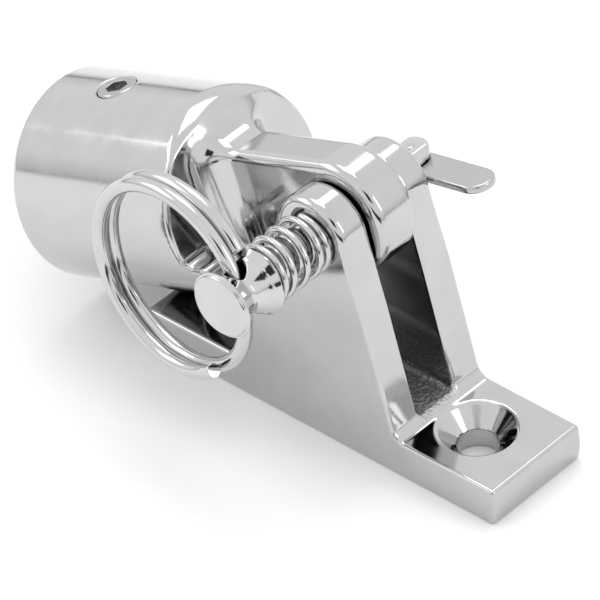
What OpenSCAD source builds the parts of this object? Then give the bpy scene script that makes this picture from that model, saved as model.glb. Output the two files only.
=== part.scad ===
// Deck hinge with an eye end for a tube and a quick-release pin, in polished stainless steel.
// Millimetres, +Z up. The origin is on the underside of the base, below the middle of the pin.
// The base plate runs along X and the pin runs along Y, with its round head on the -Y side.

/* [Base] */
// Length of the base plate
base_length = 66; // [60:0.5:80]
// Width of the base plate and over the two ears
base_width = 19; // [18:0.1:24]
// Thickness of the base plate
plate_thickness = 6; // [4:0.1:8]
// Height of the pin above the underside
pin_height = 35.4; // [32:0.1:42]
// Radius of the rounded top of each ear
ear_radius = 6.6; // [6:0.1:9]
// Lean of the ears' front and rear edges
ear_lean = 14.7; // [8:0.1:25]
// Gap between the two ears
slot_width = 8; // [6:0.1:12]
// Height of the floor between the ears
slot_floor = 6.6; // [6:0.1:10]
// Bulge of the plate's ends
end_bulge = 0.4; // [0.2:0.05:1]
// Radius of the fillet at the foot of each ear
foot_fillet = 1.6; // [0.5:0.1:3]

/* [Base screw holes] */
// Distance between the two screw holes
hole_spacing = 43.8; // [40:0.1:60]
// Diameter of each screw hole
screw_hole = 6.2; // [4:0.1:7]
// Diameter of each countersink
countersink = 11.8; // [9:0.1:14]

/* [Eye end] */
// Outside diameter of the tube cap
cap_diameter = 30.8; // [24:0.1:40]
// Diameter of the socket for the tube
tube_socket = 25.6; // [19:0.1:32]
// Distance from the pin to the cap's open end
eye_length = 55; // [45:0.5:75]
// Depth of the socket for the tube
socket_depth = 28; // [20:0.5:40]
// Distance from the pin to the cap's closed end
shoulder = 22.3; // [20:0.1:30]
// Thickness of the tongue between the ears
tongue_thickness = 7.4; // [5:0.1:11]
// Radius of the tongue's rounded end
tongue_radius = 8.9; // [7:0.1:12]
// Radius of the hollow that joins the tongue to the cap
root_fillet = 5.6; // [3:0.1:8]
// Dip of the eye end below level at rest
rest_dip = 20.4; // [0:0.1:22]
// Drop of the side lips' upper edge below the cap's middle line
lip_drop = 4.4; // [3:0.1:8]
// Distance from the pin to the front of the side lips
lip_front = 18.4; // [16:0.1:20]

/* [Set screw] */
// Diameter of the set screw
set_screw_diameter = 6; // [4:0.5:8]
// Distance from the pin to the set screw
set_screw_place = 42.4; // [35:0.1:50]
// Width across the flats of its hexagon socket
hex_socket = 3; // [2:0.5:4]

/* [Quick-release pin] */
// Diameter of the pin's shaft
pin_diameter = 6.35; // [5:0.05:8]
// Diameter of the hole for the pin
pin_hole = 6.5; // [5.1:0.05:8.2]
// Turn of the pin about its own line at rest
pin_turn = 12.6; // [0:0.1:90]
// Diameter of the round head
head_diameter = 9.7; // [8:0.1:14]
// Diameter of the waist between head and collar
waist_diameter = 6.9; // [5:0.1:9]
// Diameter of the collar that holds the spring
collar_diameter = 9.4; // [8:0.1:12]
// Diameter of the cross hole for the ring
ring_hole = 3.5; // [3:0.1:5]
// Distance from the middle of the base to the head's face
head_reach = 28.4; // [24:0.1:36]
// Distance from the middle of the base to the toggle rivet
rivet_reach = 12.6; // [11:0.1:18]

/* [Toggle] */
// Distance from the rivet to the toggle's tip
toggle_length = 15.1; // [12:0.1:20]
// Width of the toggle
toggle_width = 5.6; // [4:0.1:6.3]
// Thickness of the toggle
toggle_thickness = 1.3; // [0.8:0.1:2.5]
// Diameter of the rivet
rivet_diameter = 2; // [1:0.1:3]

/* [Spring and ring] */
// Diameter of the spring wire
spring_wire = 1.1; // [0.6:0.1:1.5]
// Outside diameter of the spring
spring_diameter = 9.6; // [8:0.1:12]
// Number of turns of the spring
spring_turns = 4.7; // [4:0.1:9]
// Diameter of the ring wire
ring_wire = 2.2; // [1:0.1:2.4]
// Outside diameter of the pull ring
ring_diameter = 31.1; // [22:0.1:40]
// Lean of the ring from upright
ring_lean = 17.9; // [0:0.1:30]

/* [Show] */
// Which piece to draw

/* [Hidden] */
$fn = 96;
past = 1;
steel = [0.78, 0.79, 0.8];
bright_steel = [0.86, 0.87, 0.88];
// Ear outline: straight edges that meet the rounded top smoothly
ear_edge = ear_radius - 0.03;
ear_foot = ear_edge / cos(ear_lean) + tan(ear_lean) * (pin_height - plate_thickness);
ear_side_x = ear_edge * cos(ear_lean);
ear_side_z = pin_height + ear_edge * sin(ear_lean);
fillet_x = ear_foot + foot_fillet * (1 - sin(ear_lean)) / cos(ear_lean);
fillet_top = plate_thickness + foot_fillet * (1 - sin(ear_lean));
bulge_radius = (plate_thickness * plate_thickness / 4 + end_bulge * end_bulge) / (2 * end_bulge);
// Eye end
cap_radius = cap_diameter / 2;
half_tongue = tongue_thickness / 2;
lip_gap = base_width / 2 + 0.4;
tongue_span = shoulder + 2 * tongue_radius;
rim_round = 0.7;
// Set screw: it fills the cap's wall and stops short of the socket
screw_length = cap_radius - tube_socket / 2 - 0.15;
hex_depth = 1.8;
// Pin
collar_back = head_reach - 8;
head_back = head_reach - 1.1;
waist_front = head_reach - 3.5;
waist_back = head_reach - 4.6;
collar_front = head_reach - 6.3;
ring_place = (waist_front + waist_back) / 2;
fork_gap = toggle_thickness + 0.4;
fork_depth = rivet_reach - base_width / 2 + 0.5;
tip_flat = 2.65;
pin_end = rivet_reach + toggle_width / 2 + 0.1;
// Spring: closed turns at both ends and open ones between
spring_start = base_width / 2 + spring_wire / 2 + 0.02;
spring_end = collar_back - spring_wire / 2 - 0.02;
spring_radius = (spring_diameter - spring_wire) / 2;
// Ring: two touching turns, and how far each runs from the cross hole in degrees
ring_radius = (ring_diameter - ring_wire) / 2;
ring_pitch = ring_wire + 0.06;
ring_seat = 0.32;
ring_tilt = 2.3;
ring_swing = 4.8;
ring_first = 293;
ring_second = 338;

// Puts a piece drawn about the pin's middle, with the eye end along -X, at its resting dip
module dipped() {
    translate([0, 0, pin_height]) rotate([0, -rest_dip, 0]) children();
}

// Puts a piece drawn about the pin's middle at the pin's resting turn
module turned() {
    translate([0, 0, pin_height]) rotate([0, -pin_turn, 0]) children();
}

// A solid of revolution about the Y axis; its outline is drawn as radius and distance towards -Y
module about_pin() {
    rotate([90, 0, 0]) rotate_extrude() children();
}

// Side view of one ear down to the plate, with a small fillet at each side of its foot
module ear_outline() {
    translate([0, pin_height]) circle(r = ear_radius);
    polygon([
        [-ear_foot, plate_thickness - past], [ear_foot, plate_thickness - past], [ear_foot, plate_thickness],
        [ear_side_x, ear_side_z], [-ear_side_x, ear_side_z], [-ear_foot, plate_thickness],
    ]);
    for (side = [0, 1]) mirror([side, 0]) difference() {
        polygon([
            [ear_foot - foot_fillet, plate_thickness - past],
            [fillet_x, plate_thickness - past],
            [fillet_x, plate_thickness],
            [fillet_x - foot_fillet * cos(ear_lean) - 0.02, fillet_top],
            [ear_foot - foot_fillet, fillet_top],
        ]);
        translate([fillet_x, plate_thickness + foot_fillet - 0.02]) circle(r = foot_fillet);
    }
}

// Side view of the plate, with slightly bulging ends
module plate_outline() {
    intersection() {
        translate([-base_length / 2, 0]) square([base_length, plate_thickness]);
        translate([base_length / 2 - bulge_radius, plate_thickness / 2]) circle(r = bulge_radius);
    }
    intersection() {
        translate([-base_length / 2, 0]) square([base_length, plate_thickness]);
        translate([bulge_radius - base_length / 2, plate_thickness / 2]) circle(r = bulge_radius);
    }
    translate([-base_length / 2 + bulge_radius, 0]) square([base_length - 2 * bulge_radius, plate_thickness]);
}

module hinge_base() color(steel) difference() {
    union() {
        translate([0, base_width / 2, 0]) rotate([90, 0, 0]) linear_extrude(base_width) plate_outline();
        translate([0, base_width / 2, 0]) rotate([90, 0, 0]) linear_extrude(base_width) ear_outline();
    }
    translate([-base_length, -slot_width / 2, slot_floor]) cube([2 * base_length, slot_width, 2 * pin_height]);
    translate([0, 0, pin_height]) rotate([90, 0, 0])
        cylinder(d = pin_hole, h = base_width + 2 * past, center = true);
    for (side = [-1, 1]) translate([side * hole_spacing / 2, 0, 0]) {
        translate([0, 0, -past]) cylinder(d = screw_hole, h = plate_thickness + 2 * past);
        translate([0, 0, plate_thickness - (countersink - screw_hole) / 2])
            cylinder(d1 = screw_hole, d2 = countersink + 0.4, h = (countersink - screw_hole) / 2 + 0.2);
    }
}

// Top view of the tongue, widening to the cap's closed end
module tongue_top() {
    difference() {
        translate([-shoulder - past, -cap_radius]) square([tongue_span, cap_diameter]);
        for (side = [0, 1]) mirror([0, side]) {
            translate([root_fillet - shoulder, half_tongue + root_fillet]) circle(r = root_fillet);
            translate([root_fillet - shoulder, half_tongue]) square([tongue_span, cap_diameter]);
            translate([-shoulder, half_tongue + root_fillet]) square([tongue_span, cap_diameter]);
        }
    }
}

// Side view of the tongue, with its rounded end about the pin, widening to the cap's closed end
module tongue_side() {
    circle(r = tongue_radius);
    difference() {
        translate([-shoulder - past, -cap_radius]) square([shoulder + past, cap_diameter]);
        for (side = [0, 1]) mirror([0, side]) {
            translate([root_fillet - shoulder, tongue_radius + root_fillet]) circle(r = root_fillet);
            translate([root_fillet - shoulder, tongue_radius]) square([2 * shoulder, cap_diameter]);
            translate([-shoulder, tongue_radius + root_fillet]) square([2 * shoulder, cap_diameter]);
        }
    }
}

module eye_end() color(steel) dipped() difference() {
    union() {
        // Tube cap with rounded rims, and a socket open at its far end
        rotate([0, -90, 0]) rotate_extrude() difference() {
            union() {
                translate([0, shoulder]) square([cap_radius - rim_round, eye_length - shoulder]);
                translate([0, shoulder + rim_round])
                    square([cap_radius, eye_length - shoulder - 2 * rim_round]);
                translate([cap_radius - rim_round, shoulder + rim_round]) circle(r = rim_round, $fn = 32);
                translate([cap_radius - rim_round, eye_length - rim_round]) circle(r = rim_round, $fn = 32);
            }
            translate([0, eye_length - socket_depth]) square([tube_socket / 2, socket_depth + past]);
        }
        // Tongue
        intersection() {
            translate([0, 0, -cap_radius]) linear_extrude(cap_diameter) tongue_top();
            translate([0, cap_radius, 0]) rotate([90, 0, 0]) linear_extrude(cap_diameter) tongue_side();
            rotate([0, 90, 0]) cylinder(r = cap_radius - rim_round, h = 4 * shoulder, center = true);
        }
        // A low lip on each side that reaches forward past the closed end
        for (side = [0, 1]) mirror([0, side, 0]) intersection() {
            rotate([0, -90, 0]) cylinder(r = cap_radius, h = shoulder + 2 * past);
            translate([-shoulder - 2 * past, lip_gap, -lip_drop - cap_radius])
                cube([shoulder + 2 * past - lip_front, cap_radius, cap_radius]);
        }
    }
    rotate([90, 0, 0]) cylinder(d = pin_hole, h = cap_diameter, center = true);
    translate([-set_screw_place, 0, 0]) cylinder(d = set_screw_diameter, h = cap_radius + past);
}

module set_screw() color(bright_steel) dipped() translate([-set_screw_place, 0, 0]) difference() {
    translate([0, 0, tube_socket / 2 + 0.1]) cylinder(d = set_screw_diameter - 0.04, h = screw_length);
    translate([0, 0, cap_radius - hex_depth]) cylinder(d = hex_socket / cos(30), h = hex_depth + past, $fn = 6);
}

// Half outline of the pin from the flat head to the end of the shaft, as radius and distance towards -Y
module pin_outline() {
    polygon([
        [0, -pin_end], [pin_diameter / 2, -pin_end], [pin_diameter / 2, collar_back],
        [collar_diameter / 2, collar_back], [collar_diameter / 2, collar_front],
        [waist_diameter / 2, waist_back], [waist_diameter / 2, waist_front],
        [head_diameter / 2 - 0.15, head_back], [head_diameter / 2, head_back + 0.3],
        [head_diameter / 2, head_reach - 0.35], [head_diameter / 2 - 0.35, head_reach], [0, head_reach],
    ]);
}

module release_pin() color(bright_steel) turned() difference() {
    about_pin() pin_outline();
    // Cross hole for the ring
    translate([0, -ring_place, 0]) cylinder(d = ring_hole, h = 2 * head_diameter, center = true);
    // Fork for the toggle, flats above and below it, and a tip rounded about the rivet
    translate([-pin_diameter, rivet_reach - fork_depth, -fork_gap / 2])
        cube([2 * pin_diameter, 2 * fork_depth + pin_end, fork_gap]);
    for (side = [0, 1]) mirror([0, 0, side])
        translate([-pin_diameter, rivet_reach - toggle_width / 2, tip_flat])
            cube([2 * pin_diameter, pin_end, pin_diameter]);
    difference() {
        translate([-pin_diameter, rivet_reach, -pin_diameter])
            cube([2 * pin_diameter, pin_end, 2 * pin_diameter]);
        translate([0, rivet_reach, 0])
            cylinder(r = toggle_width / 2 + 0.1, h = 4 * pin_diameter, center = true);
        translate([-pin_diameter, rivet_reach, -pin_diameter]) cube([2 * pin_diameter, 0.4, 2 * pin_diameter]);
    }
    translate([0, rivet_reach, 0]) cylinder(d = rivet_diameter, h = 2 * pin_diameter, center = true);
}

// How far along the spring a turn lies, counted from the spring's ear end
function coil_rise(turn) = turn < 1 ? turn * spring_wire * 1.04
    : turn > spring_turns - 1 ? spring_end - spring_start - (spring_turns - turn) * spring_wire * 1.04
    : spring_wire * 1.04 + (turn - 1) * (spring_end - spring_start - 2.08 * spring_wire) / (spring_turns - 2);

// Faces of a wound wire, for rings of points along it
function coil_skin(count, sides) = [for (i = [0:count - 1]) for (k = [0:sides - 1])
    let (a = i * sides + k, b = i * sides + (k + 1) % sides) [a, b, b + sides, a + sides]];
function coil_ends(count, sides) = [
    [for (k = [0:sides - 1]) sides - 1 - k],
    [for (k = [0:sides - 1]) count * sides + k],
];

module pin_spring() color(bright_steel) turned() {
    sides = 8;
    count = round(24 * spring_turns);
    points = [
        for (i = [0:count], k = [0:sides - 1])
            let (turn = spring_turns * i / count)
            let (along = 360 * turn, around = 360 * k / sides)
            let (out = spring_radius + spring_wire / 2 * cos(around), back = spring_wire / 2 * sin(around))
            [out * sin(along), -spring_start - coil_rise(turn) - back, out * cos(along)],
    ];
    polyhedron(points, concat(coil_skin(count, sides), coil_ends(count, sides)), convexity = 8);
}

// Split ring: a wire wound a little under two turns, with one turn through the pin's cross hole
module pull_ring() color(bright_steel) translate([0, -ring_place, pin_height])
    rotate([0, -ring_lean, 0]) rotate([-ring_tilt, 0, -ring_swing]) {
    sides = 12;
    count = round((ring_first + ring_second) / 7);
    points = [
        for (i = [0:count], k = [0:sides - 1])
            let (sweep = (ring_first + ring_second) * i / count - ring_first, around = 360 * k / sides)
            let (out = ring_radius + ring_wire / 2 * cos(around), side = ring_wire / 2 * sin(around))
            [ring_seat - ring_radius + out * cos(sweep), ring_pitch * sweep / 360 + side, -out * sin(sweep)],
    ];
    polyhedron(points, concat(coil_skin(count, sides), coil_ends(count, sides)), convexity = 8);
}

module toggle() color(steel) turned() translate([0, rivet_reach, 0]) difference() {
    union() {
        cylinder(d = toggle_width, h = toggle_thickness, center = true);
        translate([toggle_length - toggle_width / 2, 0, 0])
            cylinder(d = toggle_width, h = toggle_thickness, center = true);
        translate([0, -toggle_width / 2, -toggle_thickness / 2])
            cube([toggle_length - toggle_width / 2, toggle_width, toggle_thickness]);
    }
    cylinder(d = rivet_diameter + 0.1, h = 2 * toggle_thickness, center = true);
}

module toggle_rivet() color(bright_steel) turned() translate([0, rivet_reach, 0])
    cylinder(d = rivet_diameter - 0.02, h = 2 * tip_flat + 0.5, center = true);

hinge_base();
eye_end();
set_screw();
release_pin();
pin_spring();
pull_ring();
toggle();
toggle_rivet();
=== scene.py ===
import math
import bpy
import numpy as np
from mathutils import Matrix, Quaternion, Vector


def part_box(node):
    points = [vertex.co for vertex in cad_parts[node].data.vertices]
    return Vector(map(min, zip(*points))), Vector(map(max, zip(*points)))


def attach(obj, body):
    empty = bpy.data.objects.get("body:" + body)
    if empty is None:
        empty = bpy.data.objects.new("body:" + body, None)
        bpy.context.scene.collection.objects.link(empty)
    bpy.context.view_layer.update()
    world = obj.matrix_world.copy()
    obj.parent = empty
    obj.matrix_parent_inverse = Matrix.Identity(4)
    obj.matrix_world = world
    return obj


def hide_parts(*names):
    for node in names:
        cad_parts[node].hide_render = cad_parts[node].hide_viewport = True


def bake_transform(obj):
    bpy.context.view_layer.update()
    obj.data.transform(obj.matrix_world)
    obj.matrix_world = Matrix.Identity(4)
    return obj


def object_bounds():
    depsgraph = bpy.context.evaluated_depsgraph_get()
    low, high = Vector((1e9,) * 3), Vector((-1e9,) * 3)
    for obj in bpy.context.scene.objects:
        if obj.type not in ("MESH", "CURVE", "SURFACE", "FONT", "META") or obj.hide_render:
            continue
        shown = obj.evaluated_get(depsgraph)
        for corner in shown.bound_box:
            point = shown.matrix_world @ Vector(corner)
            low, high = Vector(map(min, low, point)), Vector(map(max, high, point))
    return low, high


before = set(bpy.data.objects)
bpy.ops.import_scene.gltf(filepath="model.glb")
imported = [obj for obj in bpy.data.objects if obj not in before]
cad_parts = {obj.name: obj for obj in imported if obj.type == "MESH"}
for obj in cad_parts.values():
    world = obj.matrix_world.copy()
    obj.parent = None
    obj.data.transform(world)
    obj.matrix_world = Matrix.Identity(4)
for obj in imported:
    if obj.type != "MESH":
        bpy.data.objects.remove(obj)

cad_low, cad_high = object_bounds()
MM = 0.001

# ---- Sizes in mm: those of the CAD pieces, and how far their edges are rounded ----
PIN_HEIGHT = 35.4
BASE_LENGTH, BASE_WIDTH, PLATE, END_BULGE, FOOT_FILLET = 66.0, 19.0, 6.0, 0.4, 1.6
EAR_RADIUS, EAR_LEAN = 6.6, math.radians(14.7)
SLOT_WIDTH, SLOT_FLOOR = 8.0, 6.6
HOLE_SPACING, SCREW_HOLE, COUNTERSINK = 43.8, 6.2, 11.8
CROWN_HEIGHT = 10.0
CAP_RADIUS, SOCKET_RADIUS, EYE_LENGTH, SOCKET_DEPTH, SHOULDER = 15.4, 12.8, 55.0, 28.0, 22.3
TONGUE_HALF, TONGUE_RADIUS, ROOT_FILLET = 3.7, 8.9, 5.6
LIP_DROP, LIP_FRONT, LIP_SIDE, LIP_EDGE = 4.4, 18.4, 9.9, 1.2
RIM_EDGE, CROWN_EDGE, CROWN_START = 0.7, 2.7, 0.72
REST_DIP = math.radians(20.4)
PIN_TURN = math.radians(12.6)
SHAFT_RADIUS, PIN_HOLE = 3.175, 3.25
HEAD_RADIUS, WAIST_RADIUS, COLLAR_RADIUS = 4.85, 3.45, 4.7
HEAD_REACH, COLLAR_BACK, WAIST_PLACE = 28.4, 20.4, 24.35
CROSS_HOLE, TIP_FLAT = 1.75, 2.65
NECK_PLACE, NECK_BACK, NECK_FRONT, NECK_SLOPE = 24.4, 2.3, 2.9, 0.85
COLLAR_HALF, HEAD_HALF = 0.9, 0.55
RIVET_REACH, RIVET_RADIUS, RIVET_HALF, FLATS_START = 12.6, 1.0, 2.9, 9.8
TOGGLE_LENGTH, TOGGLE_HALF, TOGGLE_THICKNESS = 15.1, 2.8, 1.3
SCREW_PLACE, SET_SCREW_RADIUS, HEX_FLATS = 42.4, 2.97, 3.0
SCREW_MIDDLE, SCREW_HALF, HEX_FLOOR = 14.12, 1.22, 13.6
SPRING_WIRE, SPRING_RADIUS, SPRING_TURNS = 0.55, 4.25, 4.7
SPRING_GAP, CLOSED_PITCH = 0.02, 1.04
RING_WIRE, RING_RADIUS, RING_PITCH = 1.1, 14.45, 2.26
RING_FIRST, RING_SECOND = 293.0, 338.0
RING_LEAN, RING_SWING, RING_TILT = math.radians(17.9), math.radians(4.8), math.radians(2.3)
RING_SEAT = 0.32
HOLE_EDGE = 0.3

# ---- Fineness of the two coils: points along the wire and around it ----
SPRING_STEPS, SPRING_SIDES = int(SPRING_TURNS * 60), 18
RING_STEPS, RING_SIDES = 420, 28


# ---- Smooth solids: each shape is a field that is negative inside, in mm ----
def both(a, b, radius):
    """Where both shapes are, with the edge between them rounded to radius."""
    corner = np.hypot(np.maximum(radius + a, 0), np.maximum(radius + b, 0))
    return np.minimum(-radius, np.maximum(a, b)) + corner


def either(a, b, radius):
    """Where either shape is, with a hollow of that radius between them."""
    corner = np.hypot(np.maximum(radius - a, 0), np.maximum(radius - b, 0))
    return np.maximum(radius, np.minimum(a, b)) - corner


def minus(a, hole, radius):
    """The first shape without the second, with the hole's edges rounded."""
    return both(a, -hole, radius)


def crossings(values, cell):
    """For every grid cell that the surface crosses: its index and the mean of its edge crossings."""
    size = [n - 1 for n in values.shape]
    corner = {}
    for i in (0, 1):
        for j in (0, 1):
            for k in (0, 1):
                corner[i, j, k] = values[i:size[0] + i, j:size[1] + j, k:size[2] + k]
    inside = sum((v < 0).astype(int) for v in corner.values())
    where = np.nonzero((inside > 0) & (inside < 8))
    total = np.zeros((len(where[0]), 3))
    count = np.zeros(len(where[0]))
    for at in corner:
        for axis in range(3):
            if at[axis]:
                continue
            to = tuple(1 if n == axis else at[n] for n in range(3))
            a, b = corner[at][where], corner[to][where]
            hit = (a < 0) != (b < 0)
            share = np.where(hit, a / np.where(hit, a - b, 1), 0)
            place = np.tile(np.array(at, float), (len(a), 1))
            place[:, axis] = share
            total += place * hit[:, None]
            count += hit
    return where, (np.stack(where, 1) + total / count[:, None]) * cell


def quads(values, where):
    """One quad of neighbouring cells for each grid edge that crosses the surface, facing outwards."""
    index = np.full([n - 1 for n in values.shape], -1)
    index[where] = np.arange(len(where[0]))
    inside = values < 0
    found = []
    for axis in range(3):
        turned = np.moveaxis(inside, axis, 0)
        cells = np.moveaxis(index, axis, 0)
        a, b = turned[:-1, 1:-1, 1:-1], turned[1:, 1:-1, 1:-1]
        for start, flip in ((a & ~b, axis == 1), (~a & b, axis != 1)):
            i, j, k = np.nonzero(start)
            ring = [cells[i, j, k], cells[i, j + 1, k], cells[i, j + 1, k + 1], cells[i, j, k + 1]]
            found.append(np.stack(ring[::-1] if flip else ring, 1))
    return np.concatenate(found)


def slope(field, p):
    """The field's gradient at each point."""
    step = 0.01
    rows = []
    for axis in range(3):
        shift = np.zeros(3)
        shift[axis] = step
        ahead, behind = p + shift, p - shift
        rows.append((field(*ahead.T) - field(*behind.T)) / (2 * step))
    return np.stack(rows, 1)


def solid(name, field, low, high, cell):
    """A smooth mesh of a field inside a box given in mm, with the field's own normals."""
    room = 2.3 * cell
    axes = [np.arange(low[n] - room, high[n] + room, cell) for n in range(3)]
    values = field(*np.meshgrid(*axes, indexing="ij"))
    where, place = crossings(values, cell)
    p = place + np.array([a[0] for a in axes])
    for _ in range(4):
        # A few short steps put each point on the surface itself
        g = slope(field, p)
        move = (field(*p.T) / np.maximum((g * g).sum(1), 0.05))[:, None] * g
        far = np.maximum(np.linalg.norm(move, axis=1) / (0.4 * cell), 1)
        p = p - move / far[:, None]
    faces = quads(values, where)
    return mesh_object(name, p, faces.tolist(), slope(field, p))


def mesh_object(name, points, faces, normals=None):
    mesh = bpy.data.meshes.new(name)
    mesh.from_pydata((np.asarray(points) * MM).tolist(), [], faces)
    mesh.polygons.foreach_set("use_smooth", [True] * len(mesh.polygons))
    mesh.update()
    if normals is not None:
        lengths = np.maximum(np.linalg.norm(normals, axis=1), 1e-9)
        mesh.normals_split_custom_set_from_vertices((normals / lengths[:, None]).tolist())
    obj = bpy.data.objects.new(name, mesh)
    bpy.context.scene.collection.objects.link(obj)
    return obj


def wire(name, path, outwards, radius, sides):
    """A round wire along path, with slightly chamfered ends.

    outwards is each point's direction away from the coil.
    """
    along = np.gradient(path, axis=0)
    along /= np.linalg.norm(along, axis=1)[:, None]
    across = np.cross(along, outwards)
    across /= np.linalg.norm(across, axis=1)[:, None]
    out = np.cross(across, along)
    chamfer = 0.12 * radius
    path = np.concatenate([[path[0] - along[0] * chamfer], path, [path[-1] + along[-1] * chamfer]])
    out = np.concatenate([out[:1], out, out[-1:]])
    across = np.concatenate([across[:1], across, across[-1:]])
    size = np.full(len(path), radius)
    size[[0, -1]] = radius - chamfer
    turn = 2 * np.pi * np.arange(sides) / sides
    circle = np.cos(turn)[None, :, None] * out[:, None] + np.sin(turn)[None, :, None] * across[:, None]
    points = (path[:, None] + size[:, None, None] * circle).reshape(-1, 3)
    last = (len(path) - 1) * sides
    faces = [[last + k for k in range(sides)], [sides - 1 - k for k in range(sides)]]
    for i in range(len(path) - 1):
        for k in range(sides):
            a, b = i * sides + k, i * sides + (k + 1) % sides
            faces.append([a, b, b + sides, a + sides])
    obj = mesh_object(name, points, faces)
    for end in (0, 1):
        obj.data.polygons[end].use_smooth = False
    return obj


# ---- Frames of the moving pieces ----
def eye_frame(x, y, z):
    """Distance from the pin along the eye end, sideways, and up from its middle line."""
    c, s, h = math.cos(REST_DIP), math.sin(REST_DIP), z - PIN_HEIGHT
    return -c * x - s * h, y, c * h - s * x


def pin_frame(x, y, z):
    """Across the pin along the toggle, along the pin, and along its cross hole."""
    c, s, h = math.cos(PIN_TURN), math.sin(PIN_TURN), z - PIN_HEIGHT
    return c * x + s * h, y, c * h - s * x


# ---- The pieces ----
def base_field(x, y, z):
    """Plate with two countersunk holes and two ears. The edges are rounder towards the ears' tops."""
    ax, ay = np.abs(x), np.abs(y)
    bulge = END_BULGE * ((z - PLATE / 2) / (PLATE / 2)) ** 2
    plate = both(ax - BASE_LENGTH / 2 + bulge, z - PLATE, 0.45)
    foot = EAR_RADIUS / math.cos(EAR_LEAN) + math.tan(EAR_LEAN) * (PIN_HEIGHT - PLATE)
    edge = (ax - foot) * math.cos(EAR_LEAN) + (z - PLATE) * math.sin(EAR_LEAN)
    wedge = np.maximum(edge, z - PIN_HEIGHT - EAR_RADIUS * math.sin(EAR_LEAN))
    ear = np.minimum(np.hypot(x, z - PIN_HEIGHT) - EAR_RADIUS, wedge)
    body = both(either(plate, ear, FOOT_FILLET), -z, 0.35)
    crown = np.clip((z - PIN_HEIGHT + CROWN_HEIGHT) / CROWN_HEIGHT, 0, 1)
    body = both(body, ay - BASE_WIDTH / 2, 0.5 + 0.8 * crown)
    body = minus(body, both(ay - SLOT_WIDTH / 2, SLOT_FLOOR - z, 1.2), 0.55 + 0.35 * crown)
    body = minus(body, np.hypot(x, z - PIN_HEIGHT) - PIN_HOLE, HOLE_EDGE)
    around = np.hypot(ax - HOLE_SPACING / 2, y)
    cone_start = PLATE - (COUNTERSINK - SCREW_HOLE) / 2
    cone = (around - SCREW_HOLE / 2 - (z - cone_start)) * math.sqrt(0.5)
    holes = np.maximum(np.minimum(around - SCREW_HOLE / 2, cone), z - PLATE - 0.5)
    return minus(body, holes, HOLE_EDGE)


def eye_field(x, y, z):
    """Tube cap and tongue. The cap's closed end is crisp at the sides and rounds off over the top."""
    d, side, n = eye_frame(x, y, z)
    around = np.hypot(side, n)
    middle = (SHOULDER + EYE_LENGTH) / 2
    lip = both(LIP_SIDE - np.abs(side), n + LIP_DROP, LIP_EDGE)
    lip = both(LIP_FRONT - d, lip, LIP_EDGE)
    front = either(SHOULDER - d, lip, 1.6)
    crown = np.clip((n / CAP_RADIUS - CROWN_START) / (1 - CROWN_START), 0, 1) * (d < middle)
    softened = RIM_EDGE + CROWN_EDGE * crown
    cap = both(around - CAP_RADIUS, np.maximum(front, d - EYE_LENGTH), softened)
    tongue = np.maximum(np.hypot(np.minimum(d, 0), n) - TONGUE_RADIUS, d - middle)
    tongue = both(tongue, np.abs(side) - TONGUE_HALF, 1.4)
    body = either(cap, tongue, ROOT_FILLET)
    socket = np.maximum(around - SOCKET_RADIUS, EYE_LENGTH - SOCKET_DEPTH - d)
    body = minus(body, socket, 0.6)
    body = minus(body, np.hypot(d, n) - PIN_HOLE, HOLE_EDGE)
    thread = np.maximum(np.hypot(d - SCREW_PLACE, side) - SET_SCREW_RADIUS - 0.05, -n)
    return minus(body, thread, HOLE_EDGE)


def neck_radius(b):
    """Radius of the concave neck between the collar and the head, at distance b towards the head."""
    below = (np.clip(NECK_PLACE - b, 0, 4) / NECK_BACK) ** 1.2 * (COLLAR_RADIUS - WAIST_RADIUS)
    above = (np.clip(b - NECK_PLACE, 0, 4) / NECK_FRONT) ** 1.7 * (HEAD_RADIUS - WAIST_RADIUS)
    return WAIST_RADIUS + below + above


def pin_field(x, y, z):
    """Turned pin: head, neck with the ring's cross hole, collar, shaft, and a forked tip with flats."""
    u, along, w = pin_frame(x, y, z)
    b, around = -along, np.hypot(u, w)
    shaft = np.maximum(around - SHAFT_RADIUS, b - WAIST_PLACE)
    collar = both(around - COLLAR_RADIUS, np.abs(b - COLLAR_BACK - COLLAR_HALF) - COLLAR_HALF, 0.3)
    neck_ends = np.maximum(COLLAR_BACK + 0.5 - b, b - HEAD_REACH + 0.5)
    neck = np.maximum((around - neck_radius(b)) * NECK_SLOPE, neck_ends)
    head = both(around - HEAD_RADIUS, np.abs(b - HEAD_REACH + HEAD_HALF) - HEAD_HALF, 0.4)
    body = either(either(shaft, collar, 0.15), either(neck, head, 0.2), 0.2)
    body = minus(body, np.hypot(u, b - WAIST_PLACE) - CROSS_HOLE, HOLE_EDGE)
    body = minus(body, np.maximum(TIP_FLAT - np.abs(w), FLATS_START - along), 0.2)
    # Past the ear the tip is narrower than the shaft, and rounded about the rivet
    limit = TOGGLE_HALF + 0.1 + 0.35 * np.clip((RIVET_REACH - along) / 2, 0, 1)
    limit = limit + 5 * np.maximum(BASE_WIDTH / 2 - along, 0)
    body = both(body, np.hypot(u, np.maximum(along - RIVET_REACH, 0)) - limit, 0.25)
    fork = np.maximum(np.abs(w) - TOGGLE_THICKNESS / 2 - 0.2, BASE_WIDTH / 2 - 0.5 - along)
    return minus(body, fork, 0.15)


def toggle_field(x, y, z):
    """Flat blade with round ends, one of them about the rivet."""
    u, along, w = pin_frame(x, y, z)
    reach = np.clip(u, 0, TOGGLE_LENGTH - TOGGLE_HALF)
    blade = np.hypot(u - reach, along - RIVET_REACH) - TOGGLE_HALF
    return both(blade, np.abs(w) - TOGGLE_THICKNESS / 2, 0.4)


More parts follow.
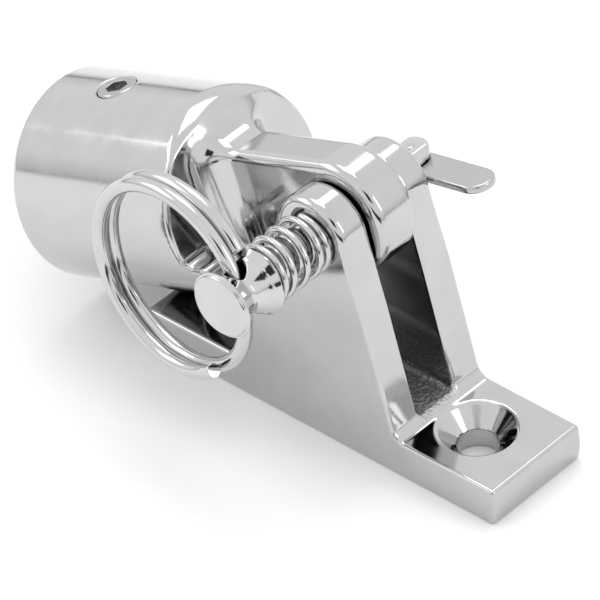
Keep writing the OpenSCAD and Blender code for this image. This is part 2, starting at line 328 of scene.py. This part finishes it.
def rivet_field(x, y, z):
    """Short round rivet through the fork."""
    u, along, w = pin_frame(x, y, z)
    around = np.hypot(u, along - RIVET_REACH)
    return both(around - RIVET_RADIUS + 0.01, np.abs(w) - RIVET_HALF, 0.35)


def set_screw_field(x, y, z):
    """Grub screw in the cap's wall, with a hexagon socket."""
    d, side, n = eye_frame(x, y, z)
    d = d - SCREW_PLACE
    body = both(np.hypot(d, side) - SET_SCREW_RADIUS, np.abs(n - SCREW_MIDDLE) - SCREW_HALF, 0.4)
    turns = (0, math.pi / 3, 2 * math.pi / 3)
    flats = [np.abs(d * math.cos(a) + side * math.sin(a)) for a in turns]
    hexagon = np.maximum(np.maximum(flats[0], flats[1]), flats[2]) - HEX_FLATS / 2
    return minus(body, np.maximum(hexagon, HEX_FLOOR - n), 0.12)


def spring_piece():
    """Spring from the ear to the collar, with one closed turn at each end."""
    start = BASE_WIDTH / 2 + SPRING_WIRE + SPRING_GAP
    end = COLLAR_BACK - SPRING_WIRE - SPRING_GAP
    turn = np.linspace(0, SPRING_TURNS, SPRING_STEPS)
    closed = 2 * SPRING_WIRE * CLOSED_PITCH
    open_pitch = (end - start - 2 * closed) / (SPRING_TURNS - 2)
    rise = np.where(turn < 1, turn * closed, closed + (turn - 1) * open_pitch)
    rise = np.where(turn > SPRING_TURNS - 1, end - start - (SPRING_TURNS - turn) * closed, rise)
    along = 2 * np.pi * turn
    c, s = math.cos(PIN_TURN), math.sin(PIN_TURN)
    u, w = np.sin(along), np.cos(along)
    out = np.stack([c * u - s * w, np.zeros_like(u), s * u + c * w], 1)
    path = SPRING_RADIUS * out + np.stack([0 * u, -start - rise, PIN_HEIGHT + 0 * u], 1)
    return wire("spring_coil", path, out, SPRING_WIRE, SPRING_SIDES)


def ring_piece():
    """Split ring of a little under two turns, hung in the pin's cross hole."""
    sweep = np.radians(np.linspace(-RING_FIRST, RING_SECOND, RING_STEPS))
    flat = np.stack([np.cos(sweep), 0 * sweep, -np.sin(sweep)], 1)
    path = RING_RADIUS * flat
    path[:, 0] += RING_SEAT - RING_RADIUS
    path[:, 1] += RING_PITCH * sweep / (2 * np.pi)
    lean = Quaternion((0, 1, 0), -RING_LEAN)
    swing = Quaternion((0, 0, 1), -RING_SWING)
    tilt = Quaternion((1, 0, 0), -RING_TILT)
    spin = np.array((lean @ swing @ tilt).to_matrix())
    path = path @ spin.T + np.array([0, -WAIST_PLACE, PIN_HEIGHT])
    return wire("ring_coil", path, flat @ spin.T, RING_WIRE, RING_SIDES)


# ---- Materials ----
SMEAR_SCALE, LINE_SCALE, WAVE_SCALE, GRAIN_SCALE = 220, 900, 90, 1500
LINE_HEIGHT, FLOOR_ROUGH, GRAIN_HEIGHT = 0.012, 0.32, 0.25


class Nodes:
    """A few short ways to add and join shader nodes."""

    def __init__(self, material):
        self.tree = material.node_tree
        self.tree.nodes.clear()

    def add(self, kind, **values):
        node = self.tree.nodes.new(kind)
        for key, value in values.items():
            setattr(node, key, value)
        return node

    def join(self, a, b):
        self.tree.links.new(a, b)

    def place(self):
        return self.add("ShaderNodeTexCoord").outputs["Object"]

    def noise(self, scale, detail=3.0, stretch=(1, 1, 1)):
        spread = self.add("ShaderNodeMapping")
        spread.inputs["Scale"].default_value = stretch
        self.join(self.place(), spread.inputs["Vector"])
        noise = self.add("ShaderNodeTexNoise")
        noise.inputs["Scale"].default_value = scale
        noise.inputs["Detail"].default_value = detail
        self.join(spread.outputs["Vector"], noise.inputs["Vector"])
        return noise.outputs["Fac"]

    def span(self, value, low, high, from_low=0.3, from_high=0.7):
        """Turns a 0 to 1 value into one from low to high."""
        change = self.add("ShaderNodeMapRange")
        change.inputs["From Min"].default_value = from_low
        change.inputs["From Max"].default_value = from_high
        change.inputs["To Min"].default_value = low
        change.inputs["To Max"].default_value = high
        self.join(value, change.inputs["Value"])
        return change.outputs["Result"]

    def math(self, kind, a, b):
        node = self.add("ShaderNodeMath", operation=kind)
        for socket, value in zip(node.inputs, (a, b)):
            if isinstance(value, (int, float)):
                socket.default_value = value
            else:
                self.join(value, socket)
        return node.outputs[0]

    def blend(self, share, low, high):
        mix = self.add("ShaderNodeMix", data_type="RGBA")
        mix.inputs["A"].default_value = (*low, 1)
        mix.inputs["B"].default_value = (*high, 1)
        self.join(share, mix.inputs["Factor"])
        return mix.outputs["Result"]


def steel(name, tone, polish, wave=0.02, stretch=(1, 1, 1), cast=False):
    """Polished stainless steel: soft waves, fine polishing lines and faint smears, all from noise.

    cast adds the grain that the casting keeps on the floor between the ears.
    """
    material = bpy.data.materials.new(name)
    material.use_nodes = True
    n = Nodes(material)
    shader = n.add("ShaderNodeBsdfPrincipled")
    shader.inputs["Metallic"].default_value = 1.0
    smear = n.noise(SMEAR_SCALE, 4)
    lines = n.noise(LINE_SCALE, 2, stretch)
    colour = n.blend(n.span(smear, 0, 1), [tone * 0.94] * 3, [tone, tone, tone * 1.01])
    rough = n.math("ADD", n.span(smear, polish * 0.7, polish * 1.5), n.span(lines, 0, polish * 0.5))
    waves = n.math("MULTIPLY", n.noise(WAVE_SCALE, 1), wave)
    height = n.math("ADD", waves, n.math("MULTIPLY", lines, wave * LINE_HEIGHT))
    if cast:
        parts = n.add("ShaderNodeSeparateXYZ")
        n.join(n.place(), parts.inputs[0])
        across = n.math("LESS_THAN", n.math("ABSOLUTE", parts.outputs["Y"], 0), SLOT_WIDTH / 2 * MM)
        low = n.span(parts.outputs["Z"], 1, 0, (SLOT_FLOOR + 0.1) * MM, (SLOT_FLOOR + 1.2) * MM)
        above = n.math("GREATER_THAN", parts.outputs["Z"], (PLATE + 0.2) * MM)
        floor = n.math("MULTIPLY", n.math("MULTIPLY", across, low), above)
        rough = n.math("ADD", rough, n.math("MULTIPLY", floor, FLOOR_ROUGH))
        grain = n.math("MULTIPLY", floor, n.noise(GRAIN_SCALE, 3))
        height = n.math("ADD", height, n.math("MULTIPLY", grain, GRAIN_HEIGHT))
    bump = n.add("ShaderNodeBump")
    bump.inputs["Strength"].default_value = 1.0
    bump.inputs["Distance"].default_value = MM
    n.join(height, bump.inputs["Height"])
    n.join(colour, shader.inputs["Base Color"])
    n.join(rough, shader.inputs["Roughness"])
    n.join(bump.outputs["Normal"], shader.inputs["Normal"])
    out = n.add("ShaderNodeOutputMaterial")
    n.join(shader.outputs[0], out.inputs["Surface"])
    return material


def matt(name, tone):
    """Matt paint or cloth of one tone, for the floor and the dark cards."""
    material = bpy.data.materials.new(name)
    material.use_nodes = True
    n = Nodes(material)
    shader = n.add("ShaderNodeBsdfPrincipled")
    shader.inputs["Roughness"].default_value = 0.9
    shader.inputs["Specular IOR Level"].default_value = 0.1
    colour = n.blend(n.span(n.noise(3, 2), 0, 1), [tone * 0.995] * 3, [tone] * 3)
    n.join(colour, shader.inputs["Base Color"])
    out = n.add("ShaderNodeOutputMaterial")
    n.join(shader.outputs[0], out.inputs["Surface"])
    return material


def piece(obj, body, node, material):
    """Gives an object its material, hides the CAD node that it replaces, and attaches it to its body
    when one is given.
    """
    obj.data.materials.append(material)
    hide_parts(node)
    if body:
        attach(obj, body)


def box_mm(node, margin=0.3):
    """Low and high corners of a CAD node in mm, with a margin."""
    low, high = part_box(node)
    return [v / MM - margin for v in low], [v / MM + margin for v in high]


piece(solid("base_casting", base_field, *box_mm("hinge_base"), cell=0.3),
      "base", "hinge_base",
      steel("base_polish", tone=0.55, polish=0.07, wave=0.022, stretch=(0.15, 1, 1), cast=True))
piece(solid("eye_casting", eye_field, *box_mm("eye_end"), cell=0.35),
      "eye", "eye_end",
      steel("eye_polish", tone=0.56, polish=0.08, wave=0.022, stretch=(1, 0.2, 1)))
piece(solid("grub_screw", set_screw_field, *box_mm("set_screw"), cell=0.11),
      "eye", "set_screw",
      steel("screw_bright", tone=0.5, polish=0.12, wave=0.01))
piece(solid("spool_pin", pin_field, *box_mm("release_pin"), cell=0.2),
      "pin", "release_pin",
      steel("pin_turned", tone=0.6, polish=0.07, wave=0.006, stretch=(0.3, 4, 0.3)))
piece(solid("rivet_head", rivet_field, *box_mm("toggle_rivet"), cell=0.12),
      "pin", "toggle_rivet",
      steel("rivet_bright", tone=0.55, polish=0.14, wave=0.006))
piece(solid("drop_toggle", toggle_field, *box_mm("toggle"), cell=0.16),
      "toggle", "toggle",
      steel("toggle_tumbled", tone=0.5, polish=0.16, wave=0.012))
piece(ring_piece(),
      "ring", "pull_ring",
      steel("ring_drawn", tone=0.58, polish=0.08, wave=0.004, stretch=(0.3, 1, 0.3)))
coil = spring_piece()
piece(coil, None, "pin_spring",
      steel("spring_drawn", tone=0.58, polish=0.09, wave=0.003))
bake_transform(coil)


# ---- Floor, light and camera, in metres ----
FLOOR_SIZE, FLOOR_GAP = 12.0, 0.00005
FLOOR_TONE, CARD_TONE = 0.93, 0.03
LENS = 477.7
CAMERA_PLACE = Vector((0.5882, -0.6418, 0.7397))
CAMERA_AIM = Vector((-0.0112, 0.0, 0.0125))
CAMERA_ROLL = math.radians(-2.924)


def sheet(name, width, depth, material):
    """A flat rectangle about the origin."""
    x, y = width / 2, depth / 2
    mesh = bpy.data.meshes.new(name)
    mesh.from_pydata([(-x, -y, 0), (x, -y, 0), (x, y, 0), (-x, y, 0)], [], [(0, 1, 2, 3)])
    mesh.materials.append(material)
    obj = bpy.data.objects.new(name, mesh)
    bpy.context.scene.collection.objects.link(obj)
    return obj


def make_floor():
    """Plain pale floor just below the base."""
    obj = sheet("floor", FLOOR_SIZE, FLOOR_SIZE, matt("floor_paint", FLOOR_TONE))
    obj.location.z = cad_low[2] - FLOOR_GAP


def make_sky():
    """A soft studio: pale overhead and darker towards and below the horizon."""
    world = bpy.data.worlds.new("studio")
    bpy.context.scene.world = world
    world.use_nodes = True
    tree = world.node_tree
    tree.nodes.clear()
    ramp = tree.nodes.new("ShaderNodeValToRGB")
    stops = ((0.0, 0.5), (0.5, 0.6), (0.53, 0.85), (0.6, 1.08), (0.8, 1.1), (1.0, 1.05))
    ramp.color_ramp.elements[0].position = stops[0][0]
    ramp.color_ramp.elements[1].position = stops[-1][0]
    for place, _ in stops[1:-1]:
        ramp.color_ramp.elements.new(place)
    for element, (_, tone) in zip(ramp.color_ramp.elements, stops):
        element.color = (tone, tone, tone, 1)
    place = tree.nodes.new("ShaderNodeTexCoord")
    parts = tree.nodes.new("ShaderNodeSeparateXYZ")
    height = tree.nodes.new("ShaderNodeMapRange")
    height.inputs["From Min"].default_value = -1
    tree.links.new(place.outputs["Generated"], parts.inputs[0])
    tree.links.new(parts.outputs["Z"], height.inputs["Value"])
    tree.links.new(height.outputs[0], ramp.inputs["Fac"])
    back = tree.nodes.new("ShaderNodeBackground")
    out = tree.nodes.new("ShaderNodeOutputWorld")
    tree.links.new(ramp.outputs["Color"], back.inputs["Color"])
    tree.links.new(back.outputs[0], out.inputs["Surface"])


def make_panel(name, azimuth, elevation, distance, size, power):
    """A soft light that faces the object, or with no power a dark card that only the steel mirrors."""
    a, e = math.radians(azimuth), math.radians(elevation)
    towards = Vector((math.cos(e) * math.cos(a), math.cos(e) * math.sin(a), math.sin(e)))
    if power:
        data = bpy.data.lights.new(name, "AREA")
        data.shape, data.size, data.size_y, data.energy = "RECTANGLE", size[0], size[1], power
        obj = bpy.data.objects.new(name, data)
        bpy.context.scene.collection.objects.link(obj)
    else:
        obj = sheet(name, *size, matt(name + "_cloth", CARD_TONE))
        obj.visible_camera = False
        obj.visible_diffuse = False
        obj.visible_shadow = False
    obj.location = towards * distance
    obj.rotation_mode = "QUATERNION"
    obj.rotation_quaternion = towards.to_track_quat("Z", "Y")


def make_camera():
    """Camera at the photograph's viewing angle."""
    data = bpy.data.cameras.new("camera")
    obj = bpy.data.objects.new("camera", data)
    data.lens, data.sensor_width = LENS, 36.0
    data.clip_start, data.clip_end = 0.05, 30.0
    roll = Quaternion((0, 0, 1), CAMERA_ROLL)
    obj.rotation_mode = "QUATERNION"
    obj.location = CAMERA_PLACE
    obj.rotation_quaternion = (CAMERA_AIM - CAMERA_PLACE).to_track_quat("-Z", "Y") @ roll
    bpy.context.scene.collection.objects.link(obj)
    bpy.context.scene.camera = obj


make_floor()
make_sky()
make_panel("top_light", azimuth=130, elevation=64, distance=1.1, size=(0.6, 0.6), power=2.4)
make_panel("side_light", azimuth=-150, elevation=35, distance=1.1, size=(0.7, 0.45), power=1.4)
make_panel("front_light", azimuth=20, elevation=30, distance=1.1, size=(0.3, 0.5), power=1.0)
make_panel("camera_side", azimuth=-47, elevation=38, distance=1.3, size=(0.5, 0.5), power=0)
make_panel("back_card", azimuth=150, elevation=3.5, distance=1.2, size=(1.6, 0.02), power=0)
make_panel("low_card", azimuth=-52, elevation=7, distance=0.24, size=(0.2, 0.05), power=0)
make_camera()
bpy.context.scene.view_settings.view_transform = "Standard"
